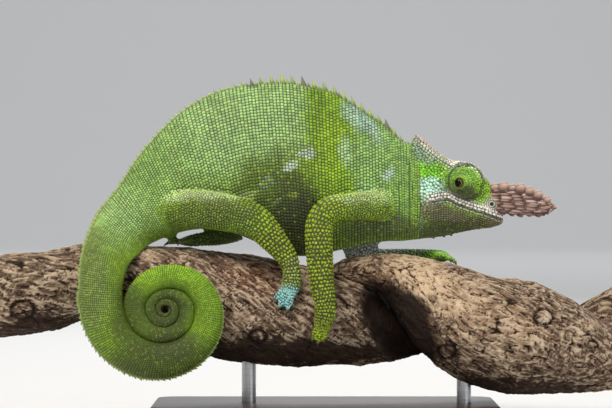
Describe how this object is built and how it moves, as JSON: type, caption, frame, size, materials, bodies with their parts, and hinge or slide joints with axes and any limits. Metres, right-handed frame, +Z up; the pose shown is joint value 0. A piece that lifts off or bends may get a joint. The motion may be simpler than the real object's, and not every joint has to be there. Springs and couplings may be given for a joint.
{
  "type": "fischer's chameleon on a branch, display model",
  "caption": "Still, life-size model of a two-horned green chameleon with a coiled tail, gripping a cut length of twisted branch on a plain display stand.",
  "frame": {"origin": "middle of the bounding box, at the underside of the stand's base", "axes": "+X the way the head points along the branch, +Z up, -Y the animal's right side, which the picture shows"},
  "size_m": [0.264, 0.086, 0.1461],
  "materials": {
    "chameleon_skin": "fine granular scales, satin",
    "leg_skin": "coarse round tubercles, satin",
    "toe_skin": "small pale blue scales, satin",
    "horn": "rough horn scales, matt",
    "eye": "wet, glossy",
    "bark": "cracked fibrous bark, matt",
    "stand_wood": "dark stained, satin",
    "stand_steel": "brushed"
  },
  "bodies": {
    "root": {"head": "chameleon_skin", "neck": "chameleon_skin", "torso": "chameleon_skin", "tail_1": "chameleon_skin", "tail_2": "chameleon_skin", "tail_3": "chameleon_skin", "tail_4": "chameleon_skin", "tail_5": "chameleon_skin", "tail_6": "chameleon_skin", "upper_arm_right": "leg_skin", "forearm_right": "leg_skin", "hand_right": "leg_skin", "thigh_right": "leg_skin", "shank_right": "leg_skin", "horn_right": "horn", "eye_right": "eye", "upper_arm_left": "leg_skin", "forearm_left": "leg_skin", "hand_left": "leg_skin", "thigh_left": "leg_skin", "shank_left": "leg_skin", "horn_left": "horn", "eye_left": "eye", "foot_right": "toe_skin", "foot_left": "leg_skin", "perch_stem_a": "bark", "perch_stem_b": "bark", "stand_base": "stand_wood", "stand_rod_rear": "stand_steel", "stand_rod_front": "stand_steel"}
  },
  "joints": []
}
